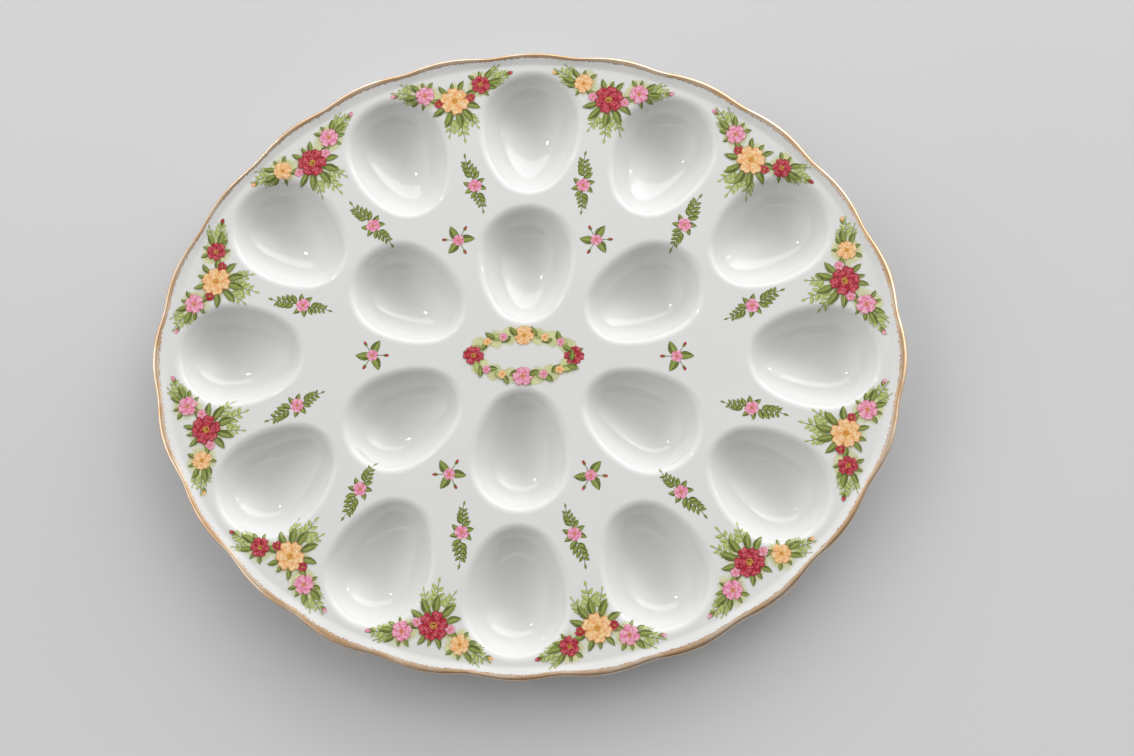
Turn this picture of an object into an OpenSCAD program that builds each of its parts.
// Oval deviled egg platter in glazed porcelain: a deck with egg-shaped wells, an upturned
// scalloped rim with a gilt edge, a foot ring, and thin floral transfers on the deck.
// It lies on its foot: X runs along its length, Y across it and Z up from the table.

/* [Wells] */
// Mouth length of each outer well
outer_well_l = 59; // [50:1:68]
// Mouth width of each outer well
outer_well_w = 47; // [40:1:54]
// Mouth length of each inner well
inner_well_l = 55; // [47:1:64]
// Mouth width of each inner well
inner_well_w = 43; // [36:1:50]
// Depth of the wells below the deck
well_depth = 17; // [14:0.5:20]
// Thickness of the wells' walls
well_wall = 3.5; // [2.5:0.1:4.5]
// Radius of a well's narrow end as a share of its wide end
narrow_share = 0.78; // [0.7:0.01:0.85]

/* [Layout] */
// Clear deck between the two inner wells on the short axis
centre_field = 35.8; // [30:0.2:44]
// Clear deck along the length between the middle inner well and the slanted ones
inner_gap = 9; // [7:0.5:12]
// Clear deck between the two slanted inner wells of one end
end_lane = 14; // [11:0.5:20]
// Angle of the slanted inner wells from the length
inner_turn = 29; // [24:1:35]
// Deck left between the walls of the inner and the outer row on the short axis
row_gap = 2.7; // [2:0.1:5]
// Clear deck between the slanted inner wells and the end well, along the length
end_field = 25.2; // [20:0.2:32]
// Least share of the outer row's path that is left clear between two wells
clear_share = 0.14; // [0.1:0.01:0.2]

/* [Deck and rim] */
// Thickness of the deck
deck_t = 4; // [3:0.1:5]
// Deck left between the outer wells' walls and the rim
shoulder_w = 1.3; // [0.8:0.1:4]
// Mean width of the rim
rim_w = 7; // [6:0.1:10]
// Height of the rim's lip above the deck
rim_rise = 1.5; // [1:0.1:6]
// Thickness of the rim at its lip
lip_t = 2.6; // [2:0.1:3]
// Height of one scallop of the edge, from notch to crest
scallop_h = 1.7; // [0:0.1:2.2]
// Height of the six broad waves of the edge above and below its mean
wave_h = 0.9; // [0:0.1:1.2]

/* [Foot] */
// Thickness of the foot ring
foot_t = 4; // [3:0.1:6]
// Thickness of the foot ring where it meets the table
foot_tip_t = 2.8; // [2:0.1:3]
// Height of the foot ring's narrow tip
foot_tip_h = 1.2; // [0.8:0.1:2]
// Gap between the wells and the table
well_clear = 2; // [1:0.1:4]

/* [Decoration] */
// Thickness of the transfers and of the gilding
film_t = 0.12; // [0.1:0.01:0.2]
// Width of the gilt line on top of the rim
gilt_w = 1.9; // [1.6:0.1:3]
// Radius of the large flower of a rim posy
posy_r = 7.6; // [6:0.1:8.4]
// Deck between the large flower's centre and the rim
posy_inset = 14; // [12:0.5:16]
// Radius of the single small flowers
small_flower_r = 3.6; // [3:0.1:4.4]
// Length of a trefoil's leaf
trefoil_leaf_l = 7.5; // [6:0.1:9]
// Length of the centre wreath
wreath_l = 48; // [40:1:52]
// Width of the centre wreath
wreath_w = 20; // [17:0.5:23]

/* [Hidden] */
OUTER_COUNT = 12;
INNER_COUNT = 6;
TREFOIL_COUNT = 6;
SCALLOP_COUNT = 24;
WAVE_COUNT = 6;
STEPS_PER_SCALLOP = 8;
EDGE_STEPS = SCALLOP_COUNT * STEPS_PER_SCALLOP;
SURFACE_STEPS = 5;
CAP_STEPS = 5;
FOOT_STEPS = 144;
END_STEPS = 22;
SIDE_STEPS = 6;
RIM_CURVE = 1.5;
GLAZE = "whitesmoke";
GILT = "darkgoldenrod";
ROUND = 64;
overrun = 1;

function two(n) = n < 10 ? str("0", n) : str(n);
function numbered(stem, count) = [for (k = [1:count]) str(stem, two(k))];

// A well is an egg of revolution that lies along its own length, with its axis above the deck
function wide_r(w) = (w * w / 4 + well_depth * well_depth) / (2 * well_depth);
function axis_h(w) = wide_r(w) - well_depth;
function narrow_r(w) = narrow_share * wide_r(w);
function end_span(l, w) = l - w / 2 - at_deck(narrow_r(w), w);
function at_deck(r, w) = sqrt(pow(r, 2) - pow(axis_h(w), 2));
function wall_reach(w) = at_deck(wide_r(w) + well_wall, w) - w / 2;

// Heights above the table
deck_z = well_clear + well_wall + well_depth;
deck_low_z = deck_z - deck_t;

// The angle on an oval that lies at a share of its perimeter from the +X end
function oval_angle(share, a, b) =
    360 * share + (a * a - b * b) / (a * a + b * b) / 4 * 180 / PI * sin(720 * share);
function oval_at(a, b, t) = [a * cos(t), b * sin(t)];
function oval_normal(a, b, t) = let (v = [b * cos(t), a * sin(t)]) v / norm(v);
function oval_heading(a, b, t) = atan2(a * sin(t), b * cos(t));
function oval_length(a, b) = PI * (3 * (a + b) - sqrt((3 * a + b) * (a + 3 * b)));

// Places of the inner wells
inner_reach_x = norm([inner_well_l * cos(inner_turn), inner_well_w * sin(inner_turn)]) / 2;
inner_reach_y = norm([inner_well_l * sin(inner_turn), inner_well_w * cos(inner_turn)]) / 2;
inner_x = inner_well_w / 2 + inner_gap + inner_reach_x;
inner_y = end_lane / 2 + inner_reach_y;
middle_y = centre_field / 2 + inner_well_l / 2;
function inner_place(k) =
    k == 2 ? [0, middle_y, 90]
    : k == 5 ? [0, -middle_y, -90]
    : k == 1 ? [inner_x, inner_y, inner_turn]
    : k == 3 ? [-inner_x, inner_y, 180 - inner_turn]
    : k == 4 ? [-inner_x, -inner_y, 180 + inner_turn]
    : [inner_x, -inner_y, -inner_turn];

// The oval path through the middles of the outer wells, which grows if they would crowd it
stack_a = inner_x + inner_reach_x + end_field + outer_well_l / 2;
stack_b = middle_y + inner_well_l / 2 + wall_reach(inner_well_w) + row_gap
    + wall_reach(outer_well_w) + outer_well_l / 2;
crowding = OUTER_COUNT * outer_well_w / (1 - clear_share) - oval_length(stack_a, stack_b);
ring_a = stack_a + max(0, crowding) / (2 * PI);
ring_b = stack_b + max(0, crowding) / (2 * PI);
function outer_place(k) =
    let (t = oval_angle((k - 1) / OUTER_COUNT, ring_a, ring_b))
    concat(oval_at(ring_a, ring_b, t), oval_heading(ring_a, ring_b, t));

// The deck's outline and the rim's mean edge
deck_margin = outer_well_l / 2 + wall_reach(outer_well_w) + shoulder_w;
deck_a = ring_a + deck_margin;
deck_b = ring_b + deck_margin;
edge_a = deck_a + rim_w;
edge_b = deck_b + rim_w;
function edge_angle(i) = oval_angle(i / EDGE_STEPS, edge_a, edge_b);
function deck_edge(i) = oval_at(deck_a, deck_b, edge_angle(i));
function scallop(i) = scallop_h * (abs(cos(180 * SCALLOP_COUNT * i / EDGE_STEPS)) - 2 / PI);
function wave(i) = wave_h * cos(360 * WAVE_COUNT * i / EDGE_STEPS);
function rim_edge(i) = oval_at(edge_a, edge_b, edge_angle(i))
    + (scallop(i) + wave(i)) * oval_normal(edge_a, edge_b, edge_angle(i));

// The rim's section: a middle line that curls up, with a thickness that thins to a round lip.
// Each of its points is a distance from the deck and a height, here with its outward normal.
lip_r = lip_t / 2;
middle_w = rim_w - lip_r;
middle_rise = rim_rise + deck_t / 2 - lip_r;
function middle_at(s) = [middle_w * s, -deck_t / 2 + middle_rise * pow(s, RIM_CURVE)];
function middle_slope(s) = atan2(RIM_CURVE * middle_rise * pow(s, RIM_CURVE - 1), middle_w);
function half_t(s) = deck_t / 2 + (lip_r - deck_t / 2) * s;
function section_point(s, turn) =
    let (way = [cos(middle_slope(s) + turn), sin(middle_slope(s) + turn)])
    [middle_at(s) + half_t(s) * way, way];
gilt_start = (rim_w - gilt_w) / middle_w;
top_shares = [for (j = [0:SURFACE_STEPS]) gilt_start * j / SURFACE_STEPS];
rim_section = concat(
    [for (s = top_shares) section_point(s, 90)],
    [for (j = [0:CAP_STEPS]) section_point(1, 90 - 180 * j / CAP_STEPS)],
    [for (j = [0:SURFACE_STEPS]) section_point(1 - (j + 1) / (SURFACE_STEPS + 1), -90)]);
gilt_first = SURFACE_STEPS;
gilt_last = SURFACE_STEPS + CAP_STEPS;
gilt_section = concat(
    [for (j = [gilt_first:gilt_last]) rim_section[j][0] + film_t * rim_section[j][1]],
    [for (j = [gilt_last:-1:gilt_first]) rim_section[j][0]]);

// One point of a section carried round the edge
function carried(i, p) = let (
    from = deck_edge(i),
    at = from + (rim_edge(i) - from) * p[0] / rim_w)
    [at[0], at[1], deck_z + p[1]];

// A closed section carried round the whole edge
module edge_sweep(section) {
    n = len(section);
    points = [for (i = [0:EDGE_STEPS - 1], p = section) carried(i, p)];
    function at(i, j) = (i % EDGE_STEPS) * n + j % n;
    polyhedron(points, [for (i = [0:EDGE_STEPS - 1], j = [0:n - 1], half = [0, 1])
        half == 0 ? [at(i, j), at(i, j + 1), at(i + 1, j + 1)]
        : [at(i, j), at(i + 1, j + 1), at(i + 1, j)]]);
}

// Half of an egg's outline: its wide end is round, its side is one long arc and its narrow
// end is a smaller round, each running on smoothly into the next
function side_r(r, tip_r, span) = (span * span / (r - tip_r) + r + tip_r) / 2;

module half_egg(r, tip_r, span) {
    side = side_r(r, tip_r, span);
    way = [side - r, span] / (side - tip_r);
    joint = [0, span] + (tip_r + overrun) * way;
    top = span + tip_r + overrun;
    intersection() {
        circle(r, $fn = ROUND);
        translate([0, -r - overrun]) square([r + overrun, r + overrun]);
    }
    intersection() {
        translate([r - side, 0]) circle(side, $fn = 2 * ROUND);
        polygon([[0, 0], [r + overrun, 0], [r + overrun, joint[1]], joint, [0, span]]);
    }
    intersection() {
        translate([0, span]) circle(tip_r, $fn = ROUND);
        polygon([[0, span], joint, [joint[0], top], [0, top]]);
    }
}

// A whole egg along X, grown by a skin, with its wide end at +X and the middle of its mouth
// at the origin
module egg(l, w, skin) {
    translate([(l - w) / 2, 0, axis_h(w)]) rotate([0, -90, 0]) rotate_extrude($fn = ROUND)
        half_egg(wide_r(w) + skin, narrow_r(w) + skin, end_span(l, w));
}

// Points that turn round a centre, after the first of them
function turning(centre, r, from, to, steps) =
    [for (i = [1:steps]) let (t = from + (to - from) * i / steps) centre + r * [cos(t), sin(t)]];

// The outline that a well's wall has in the deck: two ends joined by two long side arcs
function collar_outline(r, tip_r, span) =
    let (side = side_r(r, tip_r, span), joint = atan2(side - r, -span))
    concat(
        turning([0, 0], r, -90, 90, END_STEPS),
        turning([0, r - side], side, 90, joint, SIDE_STEPS),
        turning([-span, 0], tip_r, joint, 360 - joint, END_STEPS),
        turning([0, side - r], side, 360 - joint, 270, SIDE_STEPS));

module collar(l, w) {
    translate([(l - w) / 2, 0]) polygon(collar_outline(
        w / 2 + wall_reach(w), at_deck(narrow_r(w) + well_wall, w), end_span(l, w)));
}

module place(at, z) {
    translate([at[0], at[1], z]) rotate([0, 0, at[2]]) children();
}

// A well's wall is straight in the deck's thickness and follows the egg below it
module cup(l, w) {
    difference() {
        union() {
            translate([0, 0, -deck_t]) linear_extrude(deck_t) collar(l, w);
            difference() {
                egg(l, w, well_wall);
                translate([-l, -l, -deck_t]) cube([2 * l, 2 * l, 2 * l]);
            }
        }
        egg(l, w, 0);
    }
}

module deck() {
    color(GLAZE) translate([0, 0, deck_low_z]) linear_extrude(deck_t) difference() {
        polygon([for (i = [0:EDGE_STEPS - 1]) deck_edge(i)]);
        for (k = [1:OUTER_COUNT]) place(outer_place(k), 0) collar(outer_well_l, outer_well_w);
        for (k = [1:INNER_COUNT]) place(inner_place(k), 0) collar(inner_well_l, inner_well_w);
    }
}

module rim() {
    color(GLAZE) edge_sweep([for (p = rim_section) p[0]]);
}

module gilt_edge() {
    color(GILT) edge_sweep(gilt_section);
}

module outer_well(k) {
    color(GLAZE) place(outer_place(k), deck_z) cup(outer_well_l, outer_well_w);
}

module inner_well(k) {
    color(GLAZE) place(inner_place(k), deck_z) cup(inner_well_l, inner_well_w);
}

// The foot ring runs in the lane between the inner and the outer wells
foot_place_share = 0.8;
foot_b = middle_y + inner_well_l / 2 + wall_reach(inner_well_w) + row_gap / 2;
foot_a = inner_x + inner_reach_x + end_field * foot_place_share;

module foot_band(thick, low, high) {
    translate([0, 0, low]) linear_extrude(high - low) difference() {
        oval(foot_a + thick / 2, foot_b + thick / 2);
        oval(foot_a - thick / 2, foot_b - thick / 2);
    }
}

module oval(a, b) {
    polygon([for (i = [0:FOOT_STEPS - 1]) oval_at(a, b, 360 * i / FOOT_STEPS)]);
}

module foot_ring() {
    color(GLAZE) difference() {
        union() {
            foot_band(foot_tip_t, 0, foot_tip_h);
            foot_band(foot_t, foot_tip_h, deck_low_z);
        }
        for (k = [1:OUTER_COUNT])
            place(outer_place(k), deck_z) egg(outer_well_l, outer_well_w, well_wall);
        for (k = [1:INNER_COUNT])
            place(inner_place(k), deck_z) egg(inner_well_l, inner_well_w, well_wall);
    }
}

// Shapes of the transfers, each one flat film
PETALS = 5;
PETAL_STEPS = 6;
NOTCH_SHARE = 0.3;
LEAF_STEPS = 6;
LEAF_WIDTH_SHARE = 0.42;
STALK_SHARE = 0.06;

module flower(r) {
    linear_extrude(film_t) polygon([for (i = [0:PETALS * PETAL_STEPS - 1])
        let (t = 360 * i / (PETALS * PETAL_STEPS))
        r * (1 - NOTCH_SHARE * (1 - abs(cos(PETALS * t / 2)))) * [cos(t), sin(t)]]);
}

module leaf(l) {
    half = [for (i = [1:LEAF_STEPS - 1])
        [l * i / LEAF_STEPS, l * LEAF_WIDTH_SHARE / 2 * sin(180 * i / LEAF_STEPS)]];
    linear_extrude(film_t) polygon(concat([[0, 0]], half, [[l, 0]],
        [for (i = [len(half) - 1:-1:0]) [half[i][0], -half[i][1]]]));
}

// Leaves that spread from a flower: each row is an angle and a length in flower radii
module leaves_round(r, rows) {
    for (row = rows) rotate(row[0]) translate([r * (1 + STALK_SHARE), 0]) leaf(r * row[1]);
}

// A rim posy points outwards along X: a large flower, and on each side of it a small one
side_flower_share = 0.63;
side_flower_places_share = [0.8, 1.8];
posy_leaves_share = [[180, 1.2], [148, 0.9], [212, 0.9], [28, 0.7], [-28, 0.7]];
side_leaves_share = [[84, 1.5], [38, 1]];

module rim_posy(k) {
    t = oval_angle((k - 0.5) / OUTER_COUNT, edge_a, edge_b);
    a = deck_a - posy_inset;
    b = deck_b - posy_inset;
    at = concat(oval_at(a, b, t), oval_heading(a, b, t));
    color(k % 2 == 1 ? "crimson" : "sandybrown") place(at, deck_z) {
        flower(posy_r);
        leaves_round(posy_r, posy_leaves_share);
        for (side = [0, 1]) mirror([0, side, 0]) translate(posy_r * side_flower_places_share) {
            flower(posy_r * side_flower_share);
            leaves_round(posy_r * side_flower_share, side_leaves_share);
        }
    }
}

// A small flower sits between the narrow ends of two outer wells
small_inset_share = 0.42;
small_leaves_share = [[0, 1.6], [180, 1.6]];

module small_flower(k) {
    t = oval_angle((k - 0.5) / OUTER_COUNT, ring_a, ring_b);
    inset = outer_well_l * small_inset_share;
    at = concat(oval_at(ring_a - inset, ring_b - inset, t), oval_heading(ring_a, ring_b, t));
    color("hotpink") place(at, deck_z) {
        flower(small_flower_r);
        leaves_round(small_flower_r, small_leaves_share);
    }
}

// Trefoils fill the six clear places between the two rows
trefoil_turns = [-115, 0, 115];
trefoil_stem_share = 0.2;
trefoil_end_share = 0.62;
trefoil_places_share = [0.59, 0.22];

function trefoil_place(k) =
    k == 1 ? [inner_x + inner_reach_x * trefoil_end_share, 0, 0]
    : k == 4 ? [-inner_x - inner_reach_x * trefoil_end_share, 0, 180]
    : let (x = inner_x * trefoil_places_share[0] * (k == 2 || k == 6 ? 1 : -1),
        y = (middle_y + inner_well_l * trefoil_places_share[1]) * (k < 4 ? 1 : -1))
        [x, y, atan2(y, x)];

module trefoil(k) {
    color("olivedrab") place(trefoil_place(k), deck_z) for (turn = trefoil_turns)
        rotate(turn) translate([trefoil_leaf_l * trefoil_stem_share, 0]) leaf(trefoil_leaf_l);
}

// The wreath: leaves one after another round an oval, with a flower at each quarter
WREATH_LEAVES = 3;
WREATH_SLANT = 70;
wreath_flower_share = 0.17;
wreath_leaf_share = 1.5;

module centre_wreath() {
    a = wreath_l / 2;
    b = wreath_w / 2;
    r = wreath_w * wreath_flower_share;
    slots = 4 * (WREATH_LEAVES + 1);
    color("crimson") translate([0, 0, deck_z]) for (i = [0:slots - 1]) {
        t = oval_angle(i / slots, a, b);
        translate(oval_at(a, b, t)) {
            if (i % (WREATH_LEAVES + 1) == 0) flower(r);
            else rotate(oval_heading(a, b, t) + WREATH_SLANT)
                translate([-r * wreath_leaf_share / 2, 0]) leaf(r * wreath_leaf_share);
        }
    }
}

deck();
rim();
foot_ring();
gilt_edge();
centre_wreath();
for (k = [1:OUTER_COUNT]) {
    outer_well(k);
    rim_posy(k);
    small_flower(k);
}
for (k = [1:INNER_COUNT]) inner_well(k);
for (k = [1:TREFOIL_COUNT]) trefoil(k);
